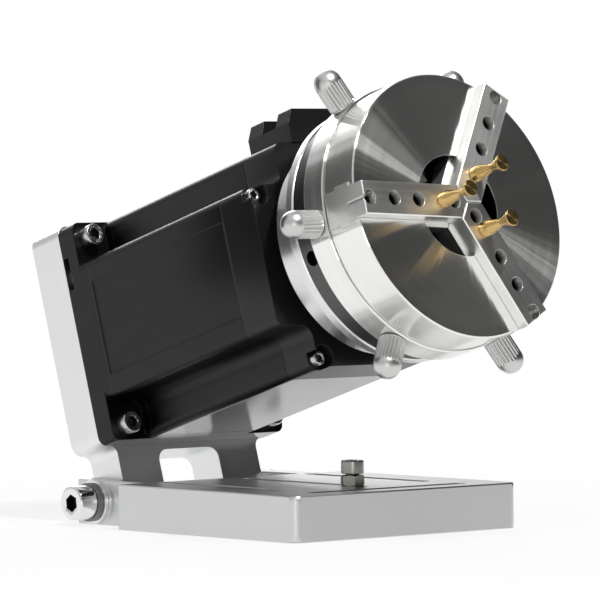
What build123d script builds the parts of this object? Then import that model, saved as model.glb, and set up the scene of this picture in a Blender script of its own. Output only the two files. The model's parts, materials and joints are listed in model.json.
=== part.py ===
from build123d import *
import math
import os

os.makedirs("parts", exist_ok=True)

# Sizes in millimetres. X runs forward under the chuck, Y to the far side, Z up.
# The origin is on the underside of the base, in the middle of its length and width.

# Base with its two hinge ears
BASE_LENGTH = 99.0
BASE_WIDTH = 112.4
BASE_HEIGHT = 17.0
BASE_CORNER = 4.5
EAR_REACH = 38.5
EAR_INSET = 12.2
EAR_T = 8.9
SLOT_WIDTH = 5.6
CROSS_SLOT_INSET = 11.0
CROSS_SLOT_END = 17.2
CENTRE_SLOT_FROM = 5.0
CENTRE_SLOT_GAP = 12.0
SIDE_SLOT_FROM = 3.0
SIDE_SLOT_GAP = 17.0
SIDE_SLOT_INSET = 20.2
LOCK_BOLT_INSET = 30.6

# Hinge
HINGE_INSET = 9.5
LEG_LENGTH = 19.6
TILT_ANGLE = 17.0
HINGE_BOLT_D = 8.0
HINGE_BOLT_LENGTH = 30.0
HINGE_HEAD_D = 13.0
HINGE_HEAD_H = 8.0
FLAT_WASHER_D = 17.0
FLAT_WASHER_T = 1.6
SPRING_WASHER_D = 14.8
SPRING_WASHER_T = 2.0

# Tilt plate
PLATE_T = 16.5
PLATE_OVER = 1.0
PLATE_CORNER = 4.5
LEG_WIDTH = 20.0
LEG_WEB = 3.5
WINDOW_DROP = 2.5
WINDOW_CORNER = 4.5
PLATE_BORE_R = 18.0

# Motor
MOTOR_HALF = 43.0
NOTCH_AT = 27.0
CONVEX_R = 3.5
CONCAVE_R = 5.0
POCKET_FLOOR = 8.8
FLANGE_LENGTH = 13.2
HOUSING_LENGTH = 80.8
CAP_LENGTH = 18.0
LABEL_RECESS = 0.4
STATOR_R = 36.0
STATOR_WALL = 4.5
AIR_GAP = 0.5
ROTOR_R = 23.8
SHAFT_R = 10.0
SHAFT_BORE_R = 6.0
BEARING_R = 21.0
BEARING_T = 12.0
BALL_R = 3.0
SCREW_Y_INSET = 7.0
SCREW_V_INSET = 6.0
TIE_INSET = 4.0
TIE_OFFSET = 3.5
TIE_HEAD_DEPTH = 5.5
OUTLET_LENGTH = 23.7
OUTLET_PROUD = 0.6
OUTLET_HALF = 17.7
OUTLET_TOP = 13.0
OUTLET_SEAT = 7.6

# Chuck
ADAPTER_GAP = 6.9
ADAPTER_LENGTH = 14.6
ADAPTER_R = 41.3
ADAPTER_SINK = 5.6
RIM_LENGTH = 3.6
RIM_R = 48.4
BACK_LENGTH = 8.9
BACK_R = 47.9
BACK_SINK = 4.4
SCROLL_LENGTH = 11.0
SCROLL_R = 50.8
BODY_LENGTH = 16.1
BODY_R = 50.0
POCKET_WALL = 6.8
BORE_R = 19.2
HUB_R = 24.2
HUB_BORE_R = 12.5
JAW_PROUD = 4.9
JAW_ANGLE = 177.2
JAW_WIDTH = 12.5
JAW_KEY_WIDTH = 15.5
JAW_STEM_WIDTH = 13.0
KEY_COVER = 2.5
KEY_LENGTH = 7.4
JAW_TIP = 0.15
JAW_HOLE_R = 2.75
JAW_HOLE_DEPTH = 9.0
JAW_TIP_HOLES = (6.2, 12.0)
JAW_END_HOLES = (26.3, 14.6, 2.8)

# Scroll thread, one spiral ridge that the jaw teeth stand between
SCROLL_PITCH = 5.0
RIDGE_T = 2.1
RIDGE_HEIGHT = 3.2
RIDGE_QUARTERS = 12
TOOTH_T = 2.1
TOOTH_WIDTH = 9.0
TOOTH_COUNT = 3
JAW_TRAVEL = 12.5
KNOB_R = 5.2
KNOB_REACH = 10.5
KNOB_SET = 5.4

# Clearances
RUNNING_FIT = 0.05
SCREW_FIT = 0.05
SLIDE_FIT = 0.1
FACE_GAP = 0.15

# Places across the base
rear = -BASE_LENGTH / 2
ear_outer = BASE_WIDTH / 2 - EAR_INSET
ear_in = ear_outer - EAR_T
leg_out = ear_in - SLIDE_FIT
leg_in = leg_out - LEG_WIDTH
hinge_z = BASE_HEIGHT / 2

# Places across the motor
screw_y = MOTOR_HALF - SCREW_Y_INSET
screw_v = MOTOR_HALF - SCREW_V_INSET
hinge_drop = MOTOR_HALF + LEG_LENGTH
window_top = -MOTOR_HALF - WINDOW_DROP

# Stations along the motor axis, from the tilt plate's front face
flange_front = FLANGE_LENGTH
housing_front = flange_front + HOUSING_LENGTH
cap_front = housing_front + CAP_LENGTH
adapter_rear = cap_front + ADAPTER_GAP
rim_rear = adapter_rear + ADAPTER_LENGTH
back_rear = rim_rear + RIM_LENGTH
scroll_rear = back_rear + BACK_LENGTH
body_rear = scroll_rear + SCROLL_LENGTH
body_front = body_rear + BODY_LENGTH
jaw_front = body_front + JAW_PROUD
key_front = body_front - KEY_COVER
key_rear = key_front - KEY_LENGTH
stem_rear = body_rear + RIDGE_HEIGHT


# Shapes along the motor axis

def rod(radius, start, end, y=0.0, z=0.0):
    """A cylinder lying along X."""
    return Pos((start + end) / 2, y, z) * Rot(0, 90, 0) * Cylinder(radius, end - start)


def tube(outer, inner, start, end, y=0.0, z=0.0):
    """A ring lying along X."""
    return rod(outer, start, end, y, z) - rod(inner, start - 1, end + 1, y, z)


def cross_rod(radius, start, end, x=0.0, z=0.0):
    """A cylinder lying along Y."""
    return Pos(x, (start + end) / 2, z) * Rot(90, 0, 0) * Cylinder(radius, end - start)


def post(radius, start, end, x=0.0, y=0.0):
    """A cylinder standing along Z."""
    return Pos(x, y, (start + end) / 2) * Cylinder(radius, end - start)


def block(x0, x1, y0, y1, z0, z1):
    """A box between two corners."""
    return Pos((x0 + x1) / 2, (y0 + y1) / 2, (z0 + z1) / 2) * Box(x1 - x0, y1 - y0, z1 - z0)


def section(x):
    """The plane square to the motor axis at x, its own x along Y and its own y up."""
    return Plane(origin=(x, 0, 0), x_dir=(0, 1, 0), z_dir=(1, 0, 0))


def hexagon(across, height):
    """A hexagonal prism standing on the origin."""
    return extrude(RegularPolygon(across / math.sqrt(3), 6), height)


def cap_screw(shank, length, head, head_height, socket):
    """A socket cap screw, its head's underside at the origin and its shank down -Z."""
    body = Pos(0, 0, head_height / 2) * Cylinder(head / 2, head_height)
    body = chamfer(body.edges().sort_by(Axis.Z)[-1], head * 0.045)
    body -= Pos(0, 0, head_height * 0.45) * hexagon(socket, head_height)
    stem = Pos(0, 0, -length / 2) * Cylinder(shank / 2, length)
    stem = chamfer(stem.edges().sort_by(Axis.Z)[0], shank * 0.1)
    return body + stem


def along_axis(shape, x, y, z, turn=0.0):
    """Points a screw drawn along Z down the motor axis, its head facing the chuck."""
    return Pos(x, y, z) * Rot(0, 90, 0) * Rot(0, 0, turn) * shape


def facing_back(shape, x, y, z):
    """Points a screw drawn along Z down the motor axis, its head facing the motor."""
    return Pos(x, y, z) * Rot(0, -90, 0) * shape


# Where the tilted head stands
hinge_x = rear - EAR_REACH + HINGE_INSET
tilt = math.radians(TILT_ANGLE)
hinge_a = -PLATE_T / 2
plate_x = hinge_x - (hinge_a * math.cos(tilt) + hinge_drop * math.sin(tilt))
plate_z = hinge_z - (hinge_a * math.sin(tilt) - hinge_drop * math.cos(tilt))
HEAD = Location((plate_x, 0, plate_z), (0, -TILT_ANGLE, 0))


def save(name, *shapes):
    """Writes one node, a single solid or a group of separate ones."""
    shape = shapes[0] if len(shapes) == 1 else Compound(children=list(shapes))
    shape.label = name
    export_step(shape, "parts/" + name + ".step")


def save_head(name, *shapes):
    """Writes a node of the tilted head, drawn along X and then leaned back."""
    save(name, *[HEAD * s for s in shapes])


# Base, ears and slots
plate = extrude(RectangleRounded(BASE_LENGTH, BASE_WIDTH, BASE_CORNER), BASE_HEIGHT)
square_rear = block(rear, rear + 10, -BASE_WIDTH / 2, BASE_WIDTH / 2, 0, BASE_HEIGHT)
base = plate + square_rear
for side in (-1, 1):
    low = min(side * ear_in, side * ear_outer)
    base += block(rear - EAR_REACH, rear + 12, low, low + ear_outer - ear_in, 0, BASE_HEIGHT)
base = chamfer(base.edges().group_by(Axis.Z)[-1].filter_by(Axis.Z, reverse=True), 0.4)
for side in (-1, 1):
    low = min(side * (ear_in - 1), side * (ear_outer + 1))
    base -= cross_rod(HINGE_BOLT_D / 2 + 0.2, low, low + ear_outer - ear_in + 2, hinge_x, hinge_z)


def x_slot(start, end, y):
    """A through slot along X between two distances from the rear face."""
    length = end - start
    middle = rear + (start + end) / 2
    return Pos(middle, y, -1) * extrude(SlotOverall(length, SLOT_WIDTH), BASE_HEIGHT + 2)


cross_at = BASE_LENGTH - CROSS_SLOT_INSET
base -= x_slot(CENTRE_SLOT_FROM, cross_at - CENTRE_SLOT_GAP, 0)
for side in (-1, 1):
    base -= x_slot(SIDE_SLOT_FROM, cross_at - SIDE_SLOT_GAP, side * (BASE_WIDTH / 2 - SIDE_SLOT_INSET))
cross_slot = SlotOverall(BASE_WIDTH - 2 * CROSS_SLOT_END, SLOT_WIDTH, rotation=90)
base -= Pos(rear + cross_at, 0, -1) * extrude(cross_slot, BASE_HEIGHT + 2)
save("base_plate", base)

# Hinge bolts with their washers, one from each side
bolts = []
flat_washers = []
spring_washers = []
for side in (-1, 1):
    turn = Rot(-90 * side, 0, 0)
    flat = Cylinder(FLAT_WASHER_D / 2, FLAT_WASHER_T) - Cylinder(HINGE_BOLT_D / 2 + 0.2, 4)
    flat_washers.append(Pos(hinge_x, side * (ear_outer + FLAT_WASHER_T / 2), hinge_z) * turn * flat)
    ring = Cylinder(SPRING_WASHER_D / 2, SPRING_WASHER_T) - Cylinder(HINGE_BOLT_D / 2 + 0.2, 4)
    ring -= Pos(6, 0, 0) * Rot(0, 25, 0) * Box(8, 0.8, 8)
    at = ear_outer + FLAT_WASHER_T + SPRING_WASHER_T / 2
    spring_washers.append(Pos(hinge_x, side * at, hinge_z) * turn * ring)
    bolt = cap_screw(HINGE_BOLT_D, HINGE_BOLT_LENGTH, HINGE_HEAD_D, HINGE_HEAD_H, 6.0)
    head_at = ear_outer + FLAT_WASHER_T + SPRING_WASHER_T
    bolts.append(Pos(hinge_x, side * head_at, hinge_z) * turn * bolt)
save("hinge_bolts", *bolts)
save("hinge_flat_washers", *flat_washers)
save("hinge_spring_washers", *spring_washers)

# Lock bolt standing in the centre slot with its nut down on the base
lock_x = rear + BASE_LENGTH - LOCK_BOLT_INSET
nut = hexagon(8.0, 4.0) - Pos(0, 0, -1) * extrude(Circle(2.5 + SCREW_FIT), 6)
save("lock_nut", Pos(lock_x, 0, BASE_HEIGHT) * Rot(0, 0, 30) * nut)
lock = cap_screw(5.0, 20.0, 8.5, 5.0, 4.0)
save("lock_bolt", Pos(lock_x, 0, BASE_HEIGHT + 4.5) * lock)

# Tilt plate with its two legs
body = extrude(section(-PLATE_T) * Pos(0, PLATE_OVER / 2)
               * RectangleRounded(2 * MOTOR_HALF, 2 * MOTOR_HALF + PLATE_OVER, PLATE_CORNER), PLATE_T)
for side in (-1, 1):
    low = min(side * leg_in, side * leg_out)
    leg = block(-PLATE_T, 0, low, low + leg_out - leg_in, -hinge_drop, -MOTOR_HALF + 6)
    leg += cross_rod(PLATE_T / 2, low, low + leg_out - leg_in, hinge_a, -hinge_drop)
    body += leg
    # Concave round between the plate's lower edge and the leg's outer side
    corner = block(-PLATE_T, 0, leg_out - 0.5, leg_out + LEG_WEB, -MOTOR_HALF - LEG_WEB, -MOTOR_HALF + 0.5)
    corner -= rod(LEG_WEB, -PLATE_T - 1, 1, leg_out + LEG_WEB, -MOTOR_HALF - LEG_WEB)
    body += corner if side > 0 else mirror(corner, about=Plane.XZ)
bridge = block(-PLATE_T, 0, -leg_in - 1, leg_in + 1, window_top - WINDOW_CORNER, -MOTOR_HALF + 6)
window_height = 2 * LEG_LENGTH
window = section(-PLATE_T - 1) * Pos(0, window_top - window_height / 2)
window = window * RectangleRounded(2 * leg_in, window_height, WINDOW_CORNER)
body += bridge - extrude(window, PLATE_T + 2)
body -= rod(PLATE_BORE_R, -PLATE_T - 1, 1)
for side in (-1, 1):
    hole_end = ear_outer + FLAT_WASHER_T + SPRING_WASHER_T - HINGE_BOLT_LENGTH - 1.1
    low = min(side * (leg_out + 1), side * hole_end)
    body -= cross_rod(HINGE_BOLT_D / 2 + RUNNING_FIT, low, low + leg_out + 1 - hole_end, hinge_a, -hinge_drop)
for y in (-screw_y, screw_y):
    for z in (-screw_v, screw_v):
        body -= rod(2.5 + SCREW_FIT, -12.5, 1, y, z)
save_head("tilt_plate", body)


# Motor

def motor_outline():
    """The square outline of the motor with its four stepped corners."""
    full = 2 * MOTOR_HALF
    cut = 2 * NOTCH_AT
    shape = Rectangle(full, cut) + Rectangle(cut, full)
    inner = []
    outer = []
    for v in shape.vertices():
        near = min(abs(v.X), abs(v.Y))
        far = max(abs(v.X), abs(v.Y))
        if far < MOTOR_HALF - 1 and near > NOTCH_AT - 1:
            inner.append(v)
        else:
            outer.append(v)
    shape = fillet(inner, CONCAVE_R)
    corners = [v for v in shape.vertices() if max(abs(v.X), abs(v.Y)) > MOTOR_HALF - 0.01
               and min(abs(v.X), abs(v.Y)) > NOTCH_AT - 0.01]
    return fillet(corners, CONVEX_R)


outline = motor_outline()
flange = extrude(section(0) * RectangleRounded(2 * MOTOR_HALF, 2 * MOTOR_HALF, 3.5), POCKET_FLOOR)
flange += extrude(section(POCKET_FLOOR) * outline, flange_front - POCKET_FLOOR)
flange -= rod(BEARING_R + 0.02, flange_front - BEARING_T, flange_front + 1)
flange -= rod(SHAFT_R + 5, -1, flange_front)
flange -= block(-1, 3.4, -MOTOR_HALF - 1, -MOTOR_HALF + 8, 18.3, 30.6)
screw_spots = [(y, z) for y in (-screw_y, screw_y) for z in (-screw_v, screw_v)]
for y, z in screw_spots:
    flange -= rod(2.5 + 0.25, -1, POCKET_FLOOR + 1, y, z)
save_head("motor_flange", flange)
save_head("flange_screws", *[along_axis(cap_screw(5.0, 20.0, 8.5, 5.0, 4.0), POCKET_FLOOR, y, z)
                             for y, z in screw_spots])
save_head("flange_key", block(0.2, 2.2, -MOTOR_HALF + 3.5, -MOTOR_HALF + 8, 21.8, 25.9))

housing = extrude(section(flange_front) * outline, housing_front - flange_front)
housing -= rod(STATOR_R + 0.02, flange_front - 1, housing_front + 1)
for side in (-1, 1):
    low = min(side * (MOTOR_HALF - LABEL_RECESS), side * (MOTOR_HALF + 1))
    housing -= block(flange_front + 1, housing_front - 0.6, low, low + 1 + LABEL_RECESS, -18.4, 18.0)
tie_spots = []
tie_out = MOTOR_HALF - TIE_INSET
tie_up = NOTCH_AT - TIE_OFFSET
for k in range(4):
    turn = math.radians(90 * k)
    tie_spots.append((-tie_out * math.cos(turn) - tie_up * math.sin(turn),
                      -tie_out * math.sin(turn) + tie_up * math.cos(turn)))
for y, z in tie_spots:
    housing -= rod(1.5 + SCREW_FIT, housing_front - 14, housing_front + 1, y, z)
save_head("motor_housing", housing)

# Stator: a laminated ring with eight poles, and one coil round each pole
stator_bore = ROTOR_R + AIR_GAP
stator_inner = STATOR_R - STATOR_WALL
stator_rear = flange_front + 10.8
stator_front = housing_front - 10.0
poles = tube(STATOR_R, stator_inner, stator_rear, stator_front)
for k in range(8):
    pole = block(stator_rear, stator_front, stator_bore + 0.4, stator_inner + 1, -3.5, 3.5)
    shoe = block(stator_rear, stator_front, stator_bore + 0.2, stator_bore + 2.6, -6.0, 6.0)
    poles += Rot(45 * k, 0, 0) * (pole + shoe)
poles -= rod(stator_bore, stator_rear - 1, stator_front + 1)
save_head("stator_core", poles)
coils = []
for k in range(8):
    coil = block(stator_rear - 4, stator_front + 4, stator_bore + 3.2, stator_inner - 0.5, -5.6, 5.6)
    coil -= block(stator_rear - 0.5, stator_front + 0.5, stator_bore, STATOR_R, -3.6, 3.6)
    coils.append(Rot(45 * k, 0, 0) * coil)
save_head("stator_coils", *coils)

cap = extrude(section(housing_front) * outline, cap_front - housing_front)
cap -= rod(BEARING_R + 0.02, housing_front - 1, housing_front + 14)
cap -= rod(stator_inner - 1.5, housing_front - 1, housing_front + 1.5)
cap -= rod(SHAFT_R + 6, housing_front, cap_front + 1)
for y, z in tie_spots:
    cap -= rod(4.3, cap_front - TIE_HEAD_DEPTH, cap_front + 1, y, z)
    cap -= rod(1.5 + 0.2, housing_front - 1, cap_front, y, z)
save_head("motor_end_cap", cap)
save_head("tie_screws", *[along_axis(cap_screw(3.0, 24.0, 5.5, 3.0, 2.5), cap_front - TIE_HEAD_DEPTH, y, z)
                          for y, z in tie_spots])

# Cable outlet block on top of the end cap, a cross pocket between its two lugs
outlet_front = cap_front + OUTLET_PROUD
outlet_rear = outlet_front - OUTLET_LENGTH
outlet_seat = MOTOR_HALF + OUTLET_SEAT
outlet_top = MOTOR_HALF + OUTLET_TOP
chamfer_in = OUTLET_HALF - 2.8
side_line = ((-OUTLET_HALF, MOTOR_HALF), (-OUTLET_HALF, outlet_seat), (-chamfer_in, outlet_top),
             (chamfer_in, outlet_top), (OUTLET_HALF, outlet_seat), (OUTLET_HALF, MOTOR_HALF))
outlet = extrude(section(outlet_rear) * make_face(Polyline(*side_line, close=True)), OUTLET_LENGTH)
pocket_rear = outlet_rear + 7.8
pocket_front = outlet_front - 7.6
outlet -= block(pocket_rear, pocket_front, -OUTLET_HALF - 1, OUTLET_HALF + 1, outlet_seat, outlet_top + 1)
outlet_screw_x = (pocket_rear + pocket_front) / 2
outlet_holes = (-9.5, 9.5)
for y in outlet_holes:
    outlet -= post(1.5 + SCREW_FIT, MOTOR_HALF - 0.5, outlet_top, outlet_screw_x, y)
save_head("outlet_block", outlet)
outlet_screw = cap_screw(3.0, 7.0, 5.5, 3.0, 2.5)
save_head("outlet_screws", *[Pos(outlet_screw_x, y, outlet_seat) * outlet_screw for y in outlet_holes])

# Bearings
bearing_rear = flange_front - BEARING_T
bearing_front = housing_front + 2
races_out = []
races_in = []
balls = []
pitch_r = (BEARING_R + SHAFT_R) / 2
for start in (bearing_rear, bearing_front):
    mid = start + BEARING_T / 2
    track = Pos(mid, 0, 0) * Rot(0, 90, 0) * Torus(pitch_r, BALL_R + RUNNING_FIT)
    races_out.append(tube(BEARING_R, pitch_r + 1.8, start, start + BEARING_T) - track)
    races_in.append(tube(pitch_r - 1.8, SHAFT_R + 0.01, start, start + BEARING_T) - track)
    for k in range(9):
        turn = math.radians(40 * k)
        balls.append(Pos(mid, pitch_r * math.cos(turn), pitch_r * math.sin(turn)) * Sphere(BALL_R))
save_head("bearing_outer_races", *races_out)
save_head("bearing_inner_races", *races_in)
save_head("bearing_balls", *balls)

# Hollow spindle with the rotor on it
shaft = rod(SHAFT_R, bearing_rear, rim_rear)
shaft += rod(SHAFT_R + 4.5, cap_front - 3.5, adapter_rear)
shaft -= rod(SHAFT_BORE_R, 0, rim_rear + 1)
save_head("hollow_shaft", shaft)
rotor = tube(ROTOR_R, SHAFT_R, stator_rear + 3, stator_front - 3)
save_head("rotor", rotor)

# Chuck adapter, a stepped disc on the spindle's nose
adapter = rod(ADAPTER_R, adapter_rear, rim_rear) + rod(RIM_R, rim_rear, back_rear)
adapter = chamfer(adapter.edges().filter_by(GeomType.CIRCLE).sort_by(Axis.X)[0], 0.6)
adapter = chamfer(adapter.edges().filter_by(GeomType.CIRCLE).sort_by(Axis.X)[-1], 0.5)
adapter -= rod(SHAFT_R + 0.01, adapter_rear - 1, rim_rear)
adapter -= rod(HUB_BORE_R, rim_rear, back_rear + 1)
adapter_circle = ADAPTER_R - 8.3
adapter_spots = [(adapter_circle * math.cos(math.radians(45 + 90 * k)),
                  adapter_circle * math.sin(math.radians(45 + 90 * k))) for k in range(4)]
for y, z in adapter_spots:
    adapter -= rod(2.75, adapter_rear - 1, back_rear + 1, y, z)
    adapter -= rod(4.6, adapter_rear - 1, adapter_rear + ADAPTER_SINK, y, z)
save_head("chuck_adapter", adapter)
adapter_screw = cap_screw(5.0, ADAPTER_LENGTH + RIM_LENGTH + 5.4 - ADAPTER_SINK, 8.5, 5.0, 4.0)
save_head("adapter_screws", *[facing_back(adapter_screw, adapter_rear + ADAPTER_SINK, y, z) for y, z in adapter_spots])

# Dark back plate of the chuck with its radial set screws
back = rod(BACK_R, back_rear, scroll_rear) - rod(HUB_BORE_R, back_rear - 1, scroll_rear + 1)
body_circle = (HUB_R + HUB_BORE_R) / 2
body_turns = [math.radians(JAW_ANGLE - 150 + 120 * k) for k in range(3)]
body_spots = [(body_circle * math.cos(turn), body_circle * math.sin(turn)) for turn in body_turns]
for y, z in adapter_spots:
    back -= rod(2.5 + SCREW_FIT, back_rear - 1, back_rear + 7.0, y, z)
for y, z in body_spots:
    back -= rod(2.2, back_rear - 1, scroll_rear + 1, y, z)
    back -= rod(3.8, back_rear - 1, back_rear + BACK_SINK, y, z)
set_screws = []
for k in range(3):
    spot = Rot(-168 + 120 * k, 0, 0)
    hole = Pos(back_rear + BACK_SINK, BACK_R - 4.9, 0) * Rot(90, 0, 0) * Cylinder(2.8, 14)
    back -= spot * hole
    grub = Pos(back_rear + BACK_SINK, BACK_R - 8.4, 0) * Rot(-90, 0, 0) * Cylinder(2.75, 6.0)
    grub -= Pos(back_rear + BACK_SINK, BACK_R - 7.4, 0) * Rot(-90, 0, 0) * hexagon(3.0, 5.0)
    set_screws.append(spot * grub)
save_head("chuck_back_plate", back)
save_head("chuck_set_screws", *set_screws)

# Chuck body, three stepped radial slots over a hub that carries the scroll
body = rod(BODY_R, body_rear, body_front)
body = chamfer(body.edges().filter_by(GeomType.CIRCLE).sort_by(Axis.X)[-1], 0.5)
body += rod(HUB_R, scroll_rear, body_rear + 1)
pocket_r = BODY_R - POCKET_WALL
body -= tube(pocket_r, HUB_R, body_rear - 0.001, stem_rear)
body -= rod(BORE_R, key_rear, body_front + 1)
body -= rod(HUB_BORE_R, scroll_rear - 1, body_front)
for k in range(3):
    slot = block(key_rear, key_front, 0, BODY_R + 10, -JAW_KEY_WIDTH / 2 - SLIDE_FIT, JAW_KEY_WIDTH / 2 + SLIDE_FIT)
    slot += block(key_front, body_front + 1, 0, BODY_R + 10, -JAW_WIDTH / 2 - SLIDE_FIT, JAW_WIDTH / 2 + SLIDE_FIT)
    slot += block(body_rear - 0.5, key_rear, HUB_R, BODY_R + 10,
                  -JAW_STEM_WIDTH / 2 - SLIDE_FIT, JAW_STEM_WIDTH / 2 + SLIDE_FIT)
    body -= Rot(JAW_ANGLE + 120 * k, 0, 0) * slot
for y, z in body_spots:
    body -= rod(2.0 + SCREW_FIT, scroll_rear - 1, scroll_rear + 12, y, z)
save_head("chuck_body", body)
body_screw = cap_screw(4.0, BACK_LENGTH - BACK_SINK + 9.5, 7.0, 4.0, 3.0)
save_head("chuck_body_screws", *[facing_back(body_screw, back_rear + BACK_SINK, y, z) for y, z in body_spots])

# Scroll ring. Its spiral is built from quarter arcs about four centres, so each full
# turn moves the ridge out by exactly one pitch.
quarter = SCROLL_PITCH / 4
ridge_start = HUB_R + 2.0


def spiral_ridge():
    """The flat outline of the ridge, a band of even width."""
    centre = (-quarter / 2, quarter / 2)
    outer = []
    inner = []
    radius = ridge_start + quarter / 2
    for k in range(RIDGE_QUARTERS):
        start = 90.0 * k
        outer.append(CenterArc(centre, radius + RIDGE_T / 2, start, 90))
        inner.append(CenterArc(centre, radius - RIDGE_T / 2, start, 90))
        turn = math.radians(start + 90)
        centre = (centre[0] - quarter * math.cos(turn), centre[1] - quarter * math.sin(turn))
        radius += quarter
    ends = [Line(outer[0] @ 0, inner[0] @ 0), Line(outer[-1] @ 1, inner[-1] @ 1)]
    return make_face(outer + inner + ends)


ring_front = body_rear - FACE_GAP
knob_x = scroll_rear + KNOB_SET
ring = rod(SCROLL_R, scroll_rear + FACE_GAP, ring_front)
ring = chamfer(ring.edges().filter_by(GeomType.CIRCLE), 0.4)
ring -= rod(HUB_R + RUNNING_FIT, scroll_rear - 1, body_rear + 1)
ring += extrude(section(ring_front - 0.01) * spiral_ridge(), stem_rear - 0.3 - ring_front + 0.01)
for k in range(6):
    hole = Pos(knob_x, SCROLL_R - 5, 0) * Rot(90, 0, 0) * Cylinder(3.0 + SCREW_FIT, 12)
    ring -= Rot(60 * k, 0, 0) * hole
save_head("scroll_ring", ring)

# Fluted knobs, drawn along Z and then laid out radially
flute_from = SCROLL_R + 1.6
ball_at = SCROLL_R + KNOB_REACH
knob = Pos(0, 0, ball_at) * Sphere(KNOB_R)
knob += post(KNOB_R, flute_from, ball_at)
for k in range(14):
    turn = math.radians(360 / 14 * k)
    knob -= post(0.55, flute_from + 0.8, ball_at - 1.2, (KNOB_R + 0.1) * math.cos(turn),
                 (KNOB_R + 0.1) * math.sin(turn))
knob += post(4.2, SCROLL_R + 0.2, flute_from + 0.1)
knob += post(3.0, SCROLL_R - 9, SCROLL_R + 1)
knobs = [Rot(60 * k, 0, 0) * Pos(knob_x, 0, 0) * Rot(-90, 0, 0) * knob for k in range(6)]
save_head("scroll_knobs", *knobs)


# Jaws. Drawn pointing out along Y, the clamping tip at the axis.

def stepped_bar(x0, x1, width, start, end, tip=True):
    """One level of a jaw, with the two tip faces that meet its neighbours."""
    half = width / 2
    if tip:
        shoulder = start + half / math.sqrt(3)
        line = ((start, 0), (shoulder, half), (end, half), (end, -half), (shoulder, -half))
    else:
        line = ((start, half), (end, half), (end, -half), (start, -half))
    return extrude(section(x0) * make_face(Polyline(*line, close=True)), x1 - x0)


def tooth(radius):
    """One curved tooth, bent to suit the ridge halfway through the jaw's travel."""
    bend = radius + JAW_TRAVEL / 2
    ring = Circle(bend + TOOTH_T / 2) - Circle(bend - TOOTH_T / 2)
    ring = Pos(-JAW_TRAVEL / 2, 0) * ring
    ring &= Pos(radius, 0) * Rectangle(12, TOOTH_WIDTH)
    slope = math.degrees(math.atan(SCROLL_PITCH / (2 * math.pi * bend)))
    ring = Pos(radius, 0) * Rot(0, 0, slope) * Pos(-radius, 0) * ring
    return extrude(section(body_rear + FACE_GAP) * ring, stem_rear + 0.5 - body_rear - FACE_GAP)


jaw_holes = list(JAW_TIP_HOLES) + [BODY_R - inset for inset in JAW_END_HOLES]
peg_hole = JAW_TIP_HOLES[1]


def jaw(angle):
    """A jaw at rest, closed on the axis, for the slot at this angle."""
    front = stepped_bar(key_front - SLIDE_FIT - 0.01, jaw_front, JAW_WIDTH, JAW_TIP, BODY_R)
    front = chamfer(front.faces().sort_by(Axis.X)[-1].edges(), 0.35)
    shape = front + stepped_bar(key_rear + SLIDE_FIT, key_front - SLIDE_FIT, JAW_KEY_WIDTH, JAW_TIP, BODY_R)
    shape += stepped_bar(stem_rear + 0.1, key_rear + SLIDE_FIT + 0.01, JAW_STEM_WIDTH,
                         HUB_R + 0.3, BODY_R, tip=False)
    shape += stepped_bar(body_rear + FACE_GAP, stem_rear + 0.2, JAW_STEM_WIDTH, pocket_r + 0.8, BODY_R, tip=False)
    first = ridge_start + SCROLL_PITCH * (angle % 360) / 360 + SCROLL_PITCH / 2
    while first - SCROLL_PITCH > HUB_R + 1.6:
        first -= SCROLL_PITCH
    for k in range(TOOTH_COUNT):
        shape += tooth(first + SCROLL_PITCH * k)
    for r in jaw_holes:
        shape -= rod(JAW_HOLE_R, jaw_front - JAW_HOLE_DEPTH, jaw_front + 1, r, 0)
        point = Pos(jaw_front - JAW_HOLE_DEPTH, r, 0) * Rot(0, -90, 0) * Pos(0, 0, 0.7)
        shape -= point * Cone(JAW_HOLE_R, 0.2, 1.4)
    return Rot(angle, 0, 0) * shape


def peg():
    """A brass peg on the axis, its seat at the origin of X."""
    seat = JAW_HOLE_R - 0.03
    side = [(-8.0, 0), (-8.0, seat), (0, seat), (0, 3.0), (4.6, 3.0), (9.0, 1.5), (10.6, 1.5),
            (14.8, 3.15), (15.5, 3.15), (15.5, 2.6), (15.1, 2.4), (15.1, 0)]
    face = make_face(Polyline(*side, close=True))
    return revolve(face, Axis.X)


for k in range(3):
    angle = JAW_ANGLE + 120 * k
    save_head("jaw_" + str(k + 1), jaw(angle))
    save_head("jaw_peg_" + str(k + 1), Rot(angle, 0, 0) * Pos(jaw_front, peg_hole, 0) * peg())
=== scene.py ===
# %% [markdown]
# # A laser rotary chuck
# A small rotary attachment for a laser engraver. A three-jaw scroll chuck sits on the
# hollow spindle of a square black motor, and the motor is bolted to a plate that tilts on
# a slotted aluminium base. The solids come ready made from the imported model, so this
# lesson gives them their finishes and adds the small turned pieces that need a finer
# surface: cap screws, fluted key knobs, brass pegs, a nut and washers.

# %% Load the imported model
import json
import math

import bmesh
import bpy
import numpy as np
from mathutils import Matrix, Vector


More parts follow.
